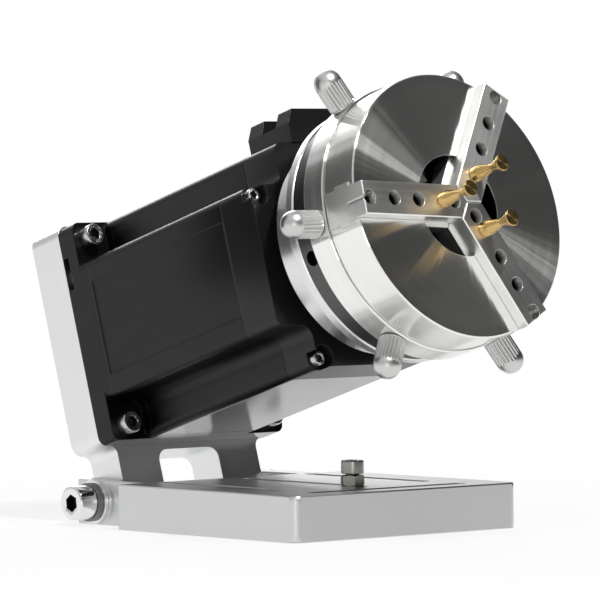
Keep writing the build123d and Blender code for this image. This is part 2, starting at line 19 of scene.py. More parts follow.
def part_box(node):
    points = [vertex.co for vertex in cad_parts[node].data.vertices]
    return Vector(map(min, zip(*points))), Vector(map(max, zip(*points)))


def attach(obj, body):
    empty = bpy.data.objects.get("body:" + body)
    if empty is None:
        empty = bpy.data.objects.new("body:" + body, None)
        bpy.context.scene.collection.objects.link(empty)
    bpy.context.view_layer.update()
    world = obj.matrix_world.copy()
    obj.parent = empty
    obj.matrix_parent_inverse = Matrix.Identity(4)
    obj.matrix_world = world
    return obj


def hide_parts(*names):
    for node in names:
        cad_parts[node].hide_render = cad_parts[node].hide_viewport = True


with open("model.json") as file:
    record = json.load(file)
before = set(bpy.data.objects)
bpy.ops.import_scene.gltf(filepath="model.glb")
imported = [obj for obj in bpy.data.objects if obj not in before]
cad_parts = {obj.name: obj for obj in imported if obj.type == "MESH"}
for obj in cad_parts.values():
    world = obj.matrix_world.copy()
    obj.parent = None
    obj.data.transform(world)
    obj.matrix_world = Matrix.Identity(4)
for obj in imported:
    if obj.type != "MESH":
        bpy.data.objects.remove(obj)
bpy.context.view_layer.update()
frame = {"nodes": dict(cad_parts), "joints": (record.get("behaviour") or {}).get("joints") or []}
nodes = frame["nodes"]

# %% [markdown]
# ## Two sets of axes
# The base lies along the world's own axes. Everything on the tilting head is easier to
# describe along the motor: `a` runs forward along the spindle from the tilt plate's front
# face, `y` goes to the far side and `v` goes up across the motor. The spindle joint of the
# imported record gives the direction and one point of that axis.

# %% Axes of the tilted head
MM = 0.001
SPINDLE_STATION = 60.0 * MM
joints = {j["name"]: j for j in frame["joints"]}
axis = np.array(joints["spindle_turn"]["axis"], float)
axis /= np.linalg.norm(axis)
tilt = math.atan2(axis[2], axis[0])
up = np.array([-axis[2], 0.0, axis[0]])
side = np.array([0.0, 1.0, 0.0])
head_origin = np.array(joints["spindle_turn"]["pos_m"], float) - SPINDLE_STATION * axis
hinge_point = np.array(joints["head_tilt"]["pos_m"], float)
print("head tilts", round(math.degrees(tilt), 2), "degrees")


def head_place(a, y, v):
    """A point of the head's axes, in millimetres, as a row point in metres."""
    return head_origin + MM * (a * axis + y * side + v * up)


# %% [markdown]
# ## Turned pieces
# A lathe makes a screw head, a peg or a knob by turning a profile round an axis. The same
# idea works here: the profile is a list of radius and height pairs, and the surface is the
# outer product of the profile with the circle's cosines and sines. A function of the angle
# can change the radius as well, which cuts the flutes of the knobs.

# %% Surfaces from grids
PIECES = {}
SOCKET_ROWS = 5
# Edges that bend more than this stay sharp, and points nearer than this, in metres, are one.
SHARP_DEG = 32.0
MERGE = 1e-7


def mesh_of(name, grids, sharp_deg=SHARP_DEG, sockets=False):
    """Joins closed-round grids of points, rows along the profile, into one smooth mesh. With
    sockets, the last rows of each grid are the inside of a hexagon socket, finish 1, which takes a
    painted shade."""
    points, faces, finish, start = [], [], [], 0
    for grid in grids:
        rows, cols = grid.shape[:2]
        index = start + np.arange(rows * cols).reshape(rows, cols)
        a, b = index[:-1], index[1:]
        quads = np.stack([a, np.roll(a, -1, 1), np.roll(b, -1, 1), b], -1).reshape(-1, 4)
        points.append(grid.reshape(-1, 3))
        faces.append(quads)
        in_socket = sockets & (np.arange(rows - 1) >= rows - SOCKET_ROWS)
        finish.append(np.repeat(in_socket, cols))
        start += rows * cols
    mesh = bpy.data.meshes.new(name)
    mesh.from_pydata(np.concatenate(points).tolist(), [], np.concatenate(faces).tolist())
    mesh.polygons.foreach_set("material_index", np.concatenate(finish).astype(int))
    work = bmesh.new()
    work.from_mesh(mesh)
    bmesh.ops.remove_doubles(work, verts=work.verts, dist=MERGE)
    bmesh.ops.dissolve_degenerate(work, edges=work.edges, dist=MERGE / 10)
    bmesh.ops.recalc_face_normals(work, faces=work.faces)
    work.to_mesh(mesh)
    work.free()
    mesh.shade_smooth()
    mesh.set_sharp_from_angle(angle=math.radians(sharp_deg))
    return mesh


def piece(name, grids, body, slot_name, *stands_for, sharp_deg=SHARP_DEG, sockets=False):
    """Puts grids into the scene as one piece that rides on a body and replaces CAD nodes."""
    obj = bpy.data.objects.new(name, mesh_of(name, grids, sharp_deg, sockets))
    bpy.context.scene.collection.objects.link(obj)
    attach(obj, body)
    if not obj.data.materials:
        obj.data.materials.append(None)
    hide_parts(*stands_for)
    PIECES[name] = obj
    print(name, len(obj.data.polygons), "faces")
    return obj


def circle(steps):
    """The angles of a circle's points."""
    return np.linspace(0, 2 * np.pi, steps, endpoint=False)


def rows_at(angle, radius, height):
    """Points at these angles; radius and height are numbers, or arrays with a column for each."""
    return np.stack([radius * np.cos(angle), radius * np.sin(angle), height + 0 * angle], -1)


def turned(profile, steps=96, shape=None):
    """Profile points (radius, height) times the circle; shape(angle, radius) gives new radii."""
    profile = np.array(profile, float)
    angle = circle(steps)
    radius = np.repeat(profile[:, :1], steps, 1)
    if shape is not None:
        radius = shape(angle, radius)
    return rows_at(angle, radius, profile[:, 1:2])


def rounded(corners, radius, steps=5):
    """Rounds each inner corner of a profile with a quarter-like arc of three weighted points."""
    corners = np.array(corners, float)
    path = [corners[0]]
    t = np.linspace(0, 1, steps)[:, None]
    for before, here, after in zip(corners[:-2], corners[1:-1], corners[2:]):
        into = before - here
        out = after - here
        cut = min(radius, 0.45 * np.linalg.norm(into), 0.45 * np.linalg.norm(out))
        p = here + into / np.linalg.norm(into) * cut
        q = here + out / np.linalg.norm(out) * cut
        path.extend((1 - t) ** 2 * p + 2 * t * (1 - t) * here + t ** 2 * q)
    path.append(corners[-1])
    return np.array(path)


def spaced(path, step):
    """Adds points along a profile so that no stretch of it is longer than step."""
    path = np.array(path, float)
    counts = np.maximum(np.ceil(np.linalg.norm(np.diff(path, axis=0), axis=1) / step).astype(int), 1)
    parts = [np.linspace(a, b, n, endpoint=False) for a, b, n in zip(path[:-1], path[1:], counts)]
    return np.concatenate(parts + [path[-1:]])


def placed(grid, point, direction, turn_deg=0.0):
    """Turns a grid drawn in millimetres about +Z so that +Z points along direction, at point."""
    z = np.array(direction, float)
    z /= np.linalg.norm(z)
    x = np.cross(side, z)
    if np.linalg.norm(x) < 1e-6:
        x = np.array([1.0, 0.0, 0.0])
    x /= np.linalg.norm(x)
    y = np.cross(z, x)
    c, s = math.cos(math.radians(turn_deg)), math.sin(math.radians(turn_deg))
    basis = np.stack([c * x + s * y, c * y - s * x, z])
    return MM * grid @ basis + np.array(point, float)


# %% [markdown]
# ## Socket cap screws
# Every screw that shows is a socket cap screw: a cylindrical head with a hexagon socket.
# The head's profile goes from the shank's end, out under the head, up its side, over a
# rounded rim and down into the socket. Below the rim the radius is a plain circle, and
# inside the socket it follows the hexagon: apothem divided by the cosine of the angle to
# the nearest flat.

# %% The cap screw generator
# In millimetres: the chamfer at a shank's end or a nut's mouth, and a head's broken edges.
CHAMFER = 0.4
BREAK = 0.25
# The head's rounded rim as a share of its width, and the socket's depth as one of its height.
RIM_SHARE = 0.07
SOCKET_SHARE = 0.52


def hexagon_radius(angle, apothem):
    """Distance from the axis to a hexagon's edge, flats centred every 60 degrees."""
    third = np.pi / 3
    return apothem / np.cos(np.mod(angle + third / 2, third) - third / 2)


def cap_screw(shank_d, length, head_d, head_h, socket, steps=96):
    """A cap screw with its head's underside at the origin, as a grid in millimetres."""
    shank, r, rim = shank_d / 2, head_d / 2, RIM_SHARE * head_d
    outer = [(0, -length), (shank - CHAMFER, -length), (shank, -length + CHAMFER), (shank, -0.02),
             (shank + 0.01, 0), (r - BREAK, 0), (r, BREAK), (r, head_h - rim)]
    arc = np.linspace(0, np.pi / 2, 7)
    outer += [(r - rim + rim * math.cos(t), head_h - rim + rim * math.sin(t)) for t in arc]
    mouth = socket / 2 / math.cos(math.pi / 6) + BREAK
    angle = circle(steps)
    hexa = hexagon_radius(angle, socket / 2)
    deep = head_h * SOCKET_SHARE
    inner = ((mouth, head_h), (np.minimum(hexa, mouth) * 0.995, head_h - BREAK),
             (hexa * 0.985, head_h - 2 * BREAK), (hexa * 0.985, head_h - deep),
             (hexa * 0.5, head_h - deep - 0.4), (hexa * 0.0, head_h - deep - 0.8))
    rows = [rows_at(angle, radius, height) for radius, height in inner]
    return np.concatenate([turned(outer, steps), np.array(rows)])


# %% Hinge bolts with their washers
# Washers as (width, thickness), screws as (shank, length, head, head's height, socket).
EAR_FACE = 44.0
FLAT_WASHER = (17.0, 1.6)
SPRING_WASHER = (14.8, 2.0)
WASHER_BORE_R = 4.4
HINGE_BOLT = (8.0, 30.0, 13.0, 8.0, 6.0)


def split_ring(inner, outer, thick, gap_deg=8.0, steps=90, rise=0.12):
    """A split spring washer: a square wire, one turn of a shallow screw with blunt ends."""
    turn = np.radians(np.linspace(gap_deg / 2, 360 - gap_deg / 2, steps))[:, None]
    lift = rise * (np.linspace(0, 1, steps) - 0.5)[:, None]
    half = thick / 2
    wire = rounded([(inner, -half), (outer, -half), (outer, half), (inner, half),
                    (inner, -half + 0.01), (inner, -half)], 0.2)
    radius, height = wire[:, 0], wire[:, 1]
    ring = np.stack([radius * np.cos(turn), radius * np.sin(turn), height + lift], -1)
    ends = ring.mean(1, keepdims=True)[[0, -1]] + np.zeros((2, ring.shape[1], 3))
    return np.concatenate([ends[:1], ring, ends[1:]])


def on_hinge(out, distance):
    """A point of the hinge's axis, this far in millimetres from the middle on side out."""
    return hinge_point + np.array([0, out * distance * MM, 0])


flat_d, flat_h = FLAT_WASHER
spring_d, spring_h = SPRING_WASHER
flat_ring = turned(rounded([(WASHER_BORE_R, 0), (flat_d / 2, 0), (flat_d / 2, flat_h),
                            (WASHER_BORE_R, flat_h), (WASHER_BORE_R, 0.3), (WASHER_BORE_R, 0)], 0.25))
spring_ring = split_ring(WASHER_BORE_R, spring_d / 2, spring_h - 0.14)
bolts, flat_washers, spring_washers = [], [], []
for out in (-1, 1):
    direction = (0, out, 0)
    flat_washers.append(placed(flat_ring, on_hinge(out, EAR_FACE), direction))
    spring_at = on_hinge(out, EAR_FACE + flat_h + spring_h / 2)
    spring_washers.append(placed(spring_ring, spring_at, direction, 160.0))
    head_at = on_hinge(out, EAR_FACE + flat_h + spring_h)
    bolts.append(placed(cap_screw(*HINGE_BOLT), head_at, direction, 8.0))
piece("hinge_bolt_pair", bolts, "base", "chrome", "hinge_bolts", sockets=True)
piece("hinge_flat_washer_pair", flat_washers, "base", "chrome", "hinge_flat_washers")
piece("hinge_spring_washer_pair", spring_washers, "base", "dark_steel", "hinge_spring_washers")

# %% Lock bolt and its nut in the centre slot
LOCK_X = 18.9
LOCK_HEAD_UP = 4.5
BASE_TOP = 1000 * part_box("base_plate")[1].z
LOCK_NUT = (8.0, 3.98, 2.52)
M5 = (5.0, 20.0, 8.5, 5.0, 4.0)
Z_UP = (0, 0, 1)
lock_point = np.array([LOCK_X, 0, BASE_TOP + LOCK_HEAD_UP]) * MM
piece("lock_bolt_m5", [placed(cap_screw(*M5), lock_point, Z_UP, 11.0)],
      "lock", "steel", "lock_bolt", sockets=True)


def hexagon_nut(across, height, bore, steps=96):
    """A nut: its side follows the hexagon, and both faces fall to a chamfer circle at the corners."""
    angle = circle(steps)
    hexa = hexagon_radius(angle, across / 2)
    crown = across / 2 * 0.96
    drop = np.maximum(hexa - crown, 0) * math.tan(math.radians(30))
    mouth = bore + CHAMFER
    profile = ((mouth, 0), (crown, 0), (hexa, drop), (hexa, height - drop), (crown, height),
               (mouth, height), (bore, height - CHAMFER), (bore, CHAMFER), (mouth, 0))
    return np.array([rows_at(angle, radius, z) for radius, z in profile])


nut_point = np.array([LOCK_X, 0, BASE_TOP + 0.02]) * MM
piece("lock_nut_m5", [placed(hexagon_nut(*LOCK_NUT), nut_point, Z_UP)], "lock", "steel", "lock_nut")

# %% Screws on the motor
M3 = (3.0, 24.0, 5.5, 3.0, 2.5)
M3_SHORT = (3.0, 7.0, 5.5, 3.0, 2.5)
SMALL_STEPS = 72
POCKET_FLOOR = 8.8
CAP_SEAT = 106.5
OUTLET_SEAT = (100.85, 50.6)
TIE_Y, TIE_V = -39.0, 23.5
flange_spots = [(y, v) for y in (-36.0, 36.0) for v in (-37.0, 37.0)]
quarter = np.radians(90 * np.arange(4))
tie_spots = np.stack([TIE_Y * np.cos(quarter) - TIE_V * np.sin(quarter),
                      TIE_Y * np.sin(quarter) + TIE_V * np.cos(quarter)], 1)
screws = [placed(cap_screw(*M5), head_place(POCKET_FLOOR, y, v), axis, 20 * k)
          for k, (y, v) in enumerate(flange_spots)]
piece("flange_screws_m5", screws, "tilt_head", "steel", "flange_screws", sockets=True)
screws = [placed(cap_screw(*M3, steps=SMALL_STEPS), head_place(CAP_SEAT, y, v), axis, 17 * k)
          for k, (y, v) in enumerate(tie_spots)]
piece("tie_screws_m3", screws, "tilt_head", "steel", "tie_screws", sockets=True)
screws = [placed(cap_screw(*M3_SHORT, steps=SMALL_STEPS),
                 head_place(OUTLET_SEAT[0], y, OUTLET_SEAT[1]), up, 10) for y in (-9.5, 9.5)]
piece("outlet_screws_m3", screws, "tilt_head", "steel", "outlet_screws", sockets=True)

# %% [markdown]
# ## Key knobs
# Six knobs stand on the scroll ring, and the user turns the ring by them. Each is a short
# chromed bar with straight flutes and a ball end. The flutes are a factor on the radius:
# a cosine raised to a power leaves rounded ridges with narrow grooves between, and it
# fades to nothing at the ball and at the foot.

# %% Fluted knobs
SCROLL_R = 50.8
KNOB_R = 5.2
KNOB_FOOT_R = 4.7
KNOB_PIN_R = 3.0
KNOB_TIP_CENTRE = 61.3
KNOB_AT = 151.4
FLUTES = 22
FLUTE_DEPTH = 0.5
FLUTE_LOW, FLUTE_HIGH = SCROLL_R + 0.9, KNOB_TIP_CENTRE - 0.1

ball = np.linspace(0, np.pi / 2, 15)
knob_profile = [(0, SCROLL_R - 9), (KNOB_PIN_R, SCROLL_R - 9), (KNOB_PIN_R, SCROLL_R + 0.2),
                (KNOB_FOOT_R, SCROLL_R + 0.2), (KNOB_FOOT_R, SCROLL_R + 0.5), (KNOB_R, SCROLL_R + 0.8)]
knob_profile += [(KNOB_R, z) for z in np.linspace(SCROLL_R + 1.2, FLUTE_HIGH, 14)]
knob_profile += [(KNOB_R * math.cos(t), KNOB_TIP_CENTRE + KNOB_R * math.sin(t)) for t in ball]
knob_heights = np.array(knob_profile)[:, 1]


def fluted(angle, radius):
    """Radius less a groove whose depth is FLUTE_DEPTH times a narrow cosine bump."""
    groove = np.cos(FLUTES * angle / 2) ** 4
    rise = np.clip((knob_heights - FLUTE_LOW) / 0.3, 0, 1)
    fall = np.clip((FLUTE_HIGH - knob_heights) / 0.6, 0, 1)
    return radius - FLUTE_DEPTH * groove[None, :] * (rise * fall)[:, None]


knob = turned(knob_profile, 14 * FLUTES, fluted)
knobs = []
for k in range(6):
    turn = math.radians(60 * k)
    out = math.cos(turn) * side + math.sin(turn) * up
    knobs.append(placed(knob, head_place(KNOB_AT, 0, 0), out))
piece("key_knobs", knobs, "scroll", "chrome", "scroll_knobs", sharp_deg=45)

# %% [markdown]
# ## Brass pegs
# Each jaw carries one brass peg. It is a turned piece: a straight foot in the jaw's hole, a
# long cone down to a waist, and a flare up to a flat face with a fine rim.

# %% Turned pegs
JAW_ANGLE = 177.2
JAW_FRONT = 178.0
PEG_HOLE = 12.0
PEG_TIP = 15.5
PEG_FOOT = [(0, -8.0), (2.72, -8.0), (2.72, 0.0), (2.45, 0.05), (2.45, 0.55)]
PEG_BODY = [(2.72, 0.62), (2.85, 0.75), (2.85, 3.3), (1.45, 9.0), (1.36, 9.7), (1.75, 11.4),
            (3.0, 14.6), (3.1, 15.2)]
PEG_RIM = [(3.0, PEG_TIP - 0.08), (2.85, PEG_TIP), (0, PEG_TIP)]
peg_outline = np.concatenate([PEG_FOOT, rounded(PEG_BODY, 0.9, 7), PEG_RIM])
peg_grid = turned(spaced(peg_outline, 0.45), SMALL_STEPS)
peg_feet = []
for k in range(3):
    turn = math.radians(JAW_ANGLE + 120 * k)
    peg_feet.append(head_place(JAW_FRONT, PEG_HOLE * math.cos(turn), PEG_HOLE * math.sin(turn)))
    piece("brass_peg_%d" % (k + 1), [placed(peg_grid, peg_feet[k], axis)],
          "jaw_%d" % (k + 1), "brass", "jaw_peg_%d" % (k + 1))

# %% [markdown]
# ## Finishes
# A machined surface is never one flat colour. Each finish below starts from the metal's
# colour, adds fine lines where the tool or the brush has passed, and wider, weaker clouds
# where hands and oil have been. The lines stretch a noise pattern: a large scale across
# them and a small one along them. Patterns read each object's own coordinates, turned to
# the motor's axis on the head, and a small rounding of the edges catches the light as a
# broken corner does.

# %% A finish builder
# The sum of two noise patterns mostly lies between these.
SUM_LOW, SUM_HIGH = 0.6, 1.4
# Where a Mix node of each kind has its first value, and its result.
MIX_SOCKETS = {"FLOAT": (2, 0), "VECTOR": (4, 1), "RGBA": (6, 2)}


class Finish:
    """Wraps one material's node tree with short methods for the patterns used here. Where a
    method takes values, each is another node's output or a plain number, colour or vector."""

    def __init__(self, name, colour, metallic, roughness, **sockets):
        self.material = bpy.data.materials.new(name)
        self.material.use_nodes = True
        tree = self.material.node_tree
        self.nodes, self.links = tree.nodes, tree.links
        self.shader = self.nodes["Principled BSDF"]
        self.here = self.nodes.new("ShaderNodeTexCoord").outputs["Object"]
        self.shader.inputs["Base Color"].default_value = (*colour, 1)
        self.shader.inputs["Metallic"].default_value = metallic
        self.shader.inputs["Roughness"].default_value = roughness
        self.colour = colour
        for key, value in sockets.items():
            self.shader.inputs[key.replace("_", " ").title().replace("Ior", "IOR")].default_value = value

    def node(self, kind, *values, **settings):
        """A new node, with values for its first inputs and settings for the rest."""
        made = self.nodes.new("ShaderNode" + kind)
        for key, value in settings.items():
            if hasattr(made, key):
                setattr(made, key, value)
            else:
                made.inputs[key].default_value = value
        for value, socket in zip(values, made.inputs):
            self.put(value, socket)
        return made

    def put(self, value, socket):
        """Joins an output to the socket, or sets the socket to a plain value."""
        if isinstance(value, bpy.types.NodeSocket):
            self.links.new(value, socket)
        else:
            socket.default_value = value

    def calc(self, operation, *values):
        """One step of plain arithmetic."""
        return self.node("Math", *values, operation=operation).outputs[0]

    def vector(self, operation, *values):
        """One step of vector arithmetic. LENGTH gives a number, the rest give a vector."""
        made = self.node("VectorMath", *values, operation=operation)
        return made.outputs["Value" if operation == "LENGTH" else "Vector"]

    def split(self, vector):
        """The three coordinates of a vector."""
        return self.node("SeparateXYZ", vector).outputs[:]

    def join(self, x, y, z):
        """A vector from three coordinates."""
        return self.node("CombineXYZ", x, y, z).outputs[0]

    def mix(self, kind, factor, a, b):
        """a where factor is 0, b where it is 1."""
        made = self.node("Mix", factor, data_type=kind)
        first, result = MIX_SOCKETS[kind]
        self.put(a, made.inputs[first])
        self.put(b, made.inputs[first + 1])
        return made.outputs[result]

    def place(self, scale=(1, 1, 1), on_head=False, centre=head_origin, roll_deg=0.0):
        """Object coordinates, on the head turned to the motor's axis, then stretched by scale."""
        source = self.here
        if on_head:
            turn = self.node("Mapping", source, vector_type="TEXTURE", Rotation=(0, -tilt, 0))
            turn.inputs["Location"].default_value = centre
            source = turn.outputs[0]
        if roll_deg:
            roll = (math.radians(roll_deg), 0, 0)
            source = self.node("Mapping", source, vector_type="TEXTURE", Rotation=roll).outputs[0]
        return self.stretch(source, scale)

    def stretch(self, vector, scale):
        """Coordinates times scale, which squeezes the pattern that reads them."""
        return self.node("Mapping", vector, Scale=scale).outputs[0]

    def noise(self, vector, scale, detail=3.0, rough=0.6):
        """A cloudy pattern that mostly lies between 0.3 and 0.7."""
        return self.node("TexNoise", vector, Scale=scale, Detail=detail, Roughness=rough).outputs["Fac"]

    def ranged(self, value, low, high, start=SUM_LOW, stop=SUM_HIGH):
        """Carries start..stop over to low..high, and holds what is past either end."""
        return self.node("MapRange", value, start, stop, low, high).outputs["Result"]

    def add(self, a, b):
        return self.calc("ADD", a, b)

    def times(self, a, b):
        return self.calc("MULTIPLY", a, b)

    def below(self, value, limit):
        """1 where value is under the limit, else 0."""
        return self.calc("LESS_THAN", value, limit)

    def above(self, value, limit):
        """1 where value is over the limit, else 0."""
        return self.calc("GREATER_THAN", value, limit)

    def in_world(self, vector):
        """A direction in the object's own axes, turned to the world's."""
        return self.node("VectorTransform", vector, vector_type="VECTOR", convert_from="OBJECT",
                         convert_to="WORLD").outputs[0]

    def unit(self, vector):
        """The vector's direction, with length 1."""
        return self.vector("NORMALIZE", vector)

    def lean(self, normal, direction, amount):
        """normal + amount * direction."""
        step = self.node("VectorMath", direction, operation="SCALE")
        self.put(amount, step.inputs["Scale"])
        return self.vector("ADD", normal, step.outputs[0])

    def rounded_edges(self, radius, samples=6):
        """The normal, as if the edges were rounded to this radius in metres."""
        return self.node("Bevel", radius, samples=samples).outputs[0]

    def shade(self, value, dark, light):
        """Base colour between dark and light times the finish's own colour."""
        ends = [(*[min(c * factor, 1) for c in self.colour], 1) for factor in (dark, light)]
        self.put(self.mix("RGBA", value, *ends), self.shader.inputs["Base Color"])

    def paint_light(self, mask, colour):
        """Painted light and shade: another base colour where mask is 1, over the one that shade has
        given.
        """
        before = self.shader.inputs["Base Color"].links[0].from_socket
        self.put(self.mix("RGBA", mask, before, (*colour, 1)), self.shader.inputs["Base Color"])

    def matt(self, value):
        """Lets the roughness follow value."""
        self.put(value, self.shader.inputs["Roughness"])

    def relief(self, value, height, normal=None):
        """A bump of this height in metres over the plain normal, or over the one given."""
        bump = self.node("Bump", Distance=height, Strength=1.0)
        self.put(value, bump.inputs["Height"])
        if normal is not None:
            self.put(normal, bump.inputs["Normal"])
        self.put(bump.outputs[0], self.shader.inputs["Normal"])


def dress(finish, *names):
    """Gives a finish to CAD nodes and new pieces by name."""
    for name in names:
        if name in PIECES:
            PIECES[name].data.materials[0] = finish.material
        else:
            nodes[name].data.materials.clear()
            nodes[name].data.materials.append(finish.material)
    print(finish.material.name, "on", len(names), "pieces")


# %% Brushed aluminium of the base and plate
ACROSS_LINES, ALONG_LINES = 900.0, 14.0
CORNER_R = 3.0 * MM


def brushed_aluminium(name, on_head, along, level, corner_at=None):
    """Lines along one axis, thin across it, over faint clouds. Beyond corner_at, an (x, y)
    pair in metres, the upright edges are rounded to CORNER_R."""
    metal = Finish(name, (level - 0.012, level, level - 0.008), 1.0, 0.34)
    line_scale = [ACROSS_LINES] * 3
    line_scale[along] = ALONG_LINES
    lines = metal.noise(metal.place(line_scale, on_head), 1.0, 4.0, 0.7)
    clouds = metal.noise(metal.place(on_head=on_head), 28.0)
    both = metal.add(lines, clouds)
    metal.shade(metal.ranged(both, 0, 1), 0.94, 1.04)
    metal.matt(metal.ranged(both, 0.28, 0.38))
    normal = metal.rounded_edges(0.4 * MM)
    if corner_at:
        x, y, _ = metal.split(metal.here)
        wide = metal.above(metal.calc("ABSOLUTE", y), corner_at[1])
        mask = metal.times(metal.above(x, corner_at[0]), wide)
        normal = metal.mix("VECTOR", mask, normal, metal.rounded_edges(CORNER_R, 8))
    metal.relief(lines, 0.000004, normal)
    return metal


base_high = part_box("base_plate")[1]
CORNER_AT = (base_high.x - 3.2 * MM, base_high.y - 3.2 * MM)
dress(brushed_aluminium("base_brushed_aluminium", False, 0, 0.67, CORNER_AT), "base_plate")
dress(brushed_aluminium("plate_brushed_aluminium", True, 2, 0.84), "tilt_plate")

# %% [markdown]
# ## Turned faces
# The chuck's face, its body and the jaws were turned and ground together, so the tool
# marks run in circles round the spindle. Such grooves spread a highlight across them,
# which draws the bright rays that fan out from the centre. The shader does the same when
# its roughness is stretched along a tangent: here the tangent is the axis crossed with the
# radius, so it follows the circles everywhere, on faces and on rims alike. The normal is
# worked out as well, in place of a bump: it leans across the grooves line by line, and
# along them by a slow wave round the circle, which breaks the highlight into rays.

# %% Turned steel
# The lean across the grooves at the noise's ends, and the factor that carries the usual
# lean along them to those ends, which the noise hardly reaches.
GROOVE_LEAN = 0.08
NOISE_REACH = 3.3


def turned_steel(name, colour, roughness, anisotropy, edge=0.3 * MM, centre=head_origin,
                 recess=None, chatter=0.0):
    """Circles round an axis through centre, read at (distance along, distance out, 0). The
    normal leans a little across the grooves and by about `chatter` radians along them.
    Inside a recess of (radius, station) in metres the steel is painted near black, a painted shade in
    the bore."""
    metal = Finish(name, colour, 1.0, roughness, anisotropic=anisotropy, anisotropic_rotation=0.25)
    place = metal.place(on_head=True, centre=centre)
    station, y, z = metal.split(place)
    outward = metal.join(0, y, z)
    radius = metal.vector("LENGTH", outward)
    ring = metal.join(station, radius, 0)
    lines = metal.noise(ring, 4200.0, 2.0)
    bands = metal.noise(ring, 260.0)
    clouds = metal.noise(place, 45.0)
    metal.shade(metal.ranged(metal.add(bands, clouds), 0, 1), 0.95, 1.03)
    metal.matt(metal.ranged(metal.add(bands, lines), roughness - 0.02, roughness + 0.03))
    # Painted shade: inside the recess the bore is painted near black.
    if recess:
        inside = metal.times(metal.below(radius, recess[0]), metal.below(station, recess[1]))
        metal.paint_light(inside, (0.012, 0.012, 0.012))
    # Directions along and across the grooves, from the axis and the surface's own normal.
    away = metal.vector("SUBTRACT", metal.here, centre)
    along = metal.unit(metal.in_world(metal.vector("CROSS_PRODUCT", axis, away)))
    plain = metal.rounded_edges(edge)
    across = metal.unit(metal.vector("CROSS_PRODUCT", plain, along))
    waves = metal.noise(metal.unit(outward), 14.0, 2.0, 0.5)
    sway = NOISE_REACH * chatter
    normal = metal.lean(plain, across, metal.ranged(lines, -GROOVE_LEAN, GROOVE_LEAN, 0, 1))
    normal = metal.lean(normal, along, metal.ranged(waves, -sway, sway, 0, 1))
    metal.put(metal.unit(normal), metal.shader.inputs["Normal"])
    metal.put(along, metal.shader.inputs["Tangent"])
    return metal


PAINTED_SHADE_RECESS = (19.25 * MM, 172.6 * MM)
face_steel = turned_steel("turned_face_steel", (0.90, 0.90, 0.875), 0.21, 0.97,
                          recess=PAINTED_SHADE_RECESS, chatter=0.035)
dress(face_steel, "chuck_body", "scroll_ring")
dress(turned_steel("turned_adapter_aluminium", (0.80, 0.80, 0.80), 0.30, 0.6), "chuck_adapter")

# %% Ground jaws
# The holes' radius with a margin, where the last of them ends, and their thread.
HOLE_R = 3.1 * MM
HOLES_END = 45.0 * MM
THREAD_PITCH = 0.8 * MM


def ground_jaw(name, turn_deg):
    """Grinding lines along the jaw, and threads in the holes on its centre line. The holes'
    walls are painted a little lighter than the jaw, a faint painted highlight, and a painted shade
    darkens them with depth."""
    metal = Finish(name, (0.95, 0.95, 0.93), 1.0, 0.36, anisotropic=0.45)
    place = metal.place(on_head=True, roll_deg=turn_deg)
    lines = metal.noise(metal.stretch(place, (1100.0, 16.0, 1100.0)), 1.0, 1.0, 0.5)
    both = metal.add(lines, metal.noise(place, 60.0, 2.0))
    metal.shade(metal.ranged(both, 0, 1), 0.96, 1.04)
    station, out, offset = metal.split(place)
    inside = metal.times(metal.below(station, (JAW_FRONT - 0.05) * MM), metal.below(out, HOLES_END))
    holes = metal.times(metal.below(metal.calc("ABSOLUTE", offset), HOLE_R), inside)
    # Painted highlight: the holes' walls are a little lighter than the jaw.
    metal.paint_light(holes, (0.97, 0.97, 0.95))
    # Painted shade: the walls darken to near black with depth.
    depth_shade = metal.ranged(station, 1, 0, 174.2 * MM, 176.8 * MM)
    metal.paint_light(metal.times(holes, depth_shade), (0.02, 0.02, 0.02))
    metal.matt(metal.mix("FLOAT", holes, metal.ranged(both, 0.36, 0.42), 0.42))
    thread = metal.calc("SINE", metal.times(station, 2 * math.pi / THREAD_PITCH))
    height = metal.add(metal.times(metal.times(thread, holes), 70.0), lines)
    metal.relief(height, 0.000001, metal.rounded_edges(0.3 * MM))
    turn = math.radians(turn_deg)
    across = metal.in_world(math.cos(turn) * up - math.sin(turn) * side)
    metal.put(across, metal.shader.inputs["Tangent"])
    return metal


for k in range(3):
    dress(ground_jaw("ground_jaw_steel_%d" % (k + 1), JAW_ANGLE + 120 * k), "jaw_%d" % (k + 1))

# %% Blackened, plain and coloured metals
black_steel = turned_steel("blackened_turned_steel", (0.11, 0.11, 0.11), 0.34, 0.5)
dress(black_steel, "chuck_back_plate", "chuck_set_screws")


def plain_metal(name, colour, roughness, cloud=0.08):
    """Even metal with a faint grain: clouds shift colour and roughness, specks give relief."""
    metal = Finish(name, colour, 1.0, roughness)
    place = metal.place()
    specks = metal.noise(place, 3000.0, 2.0)
    both = metal.add(metal.noise(place, 60.0), specks)
    metal.shade(metal.ranged(both, 0, 1, 0.7, 1.3), 1 - cloud, 1 + cloud)
    metal.matt(metal.ranged(both, roughness * 0.75, roughness * 1.3, 0.7, 1.3))
    metal.relief(specks, 0.000002)
    return metal


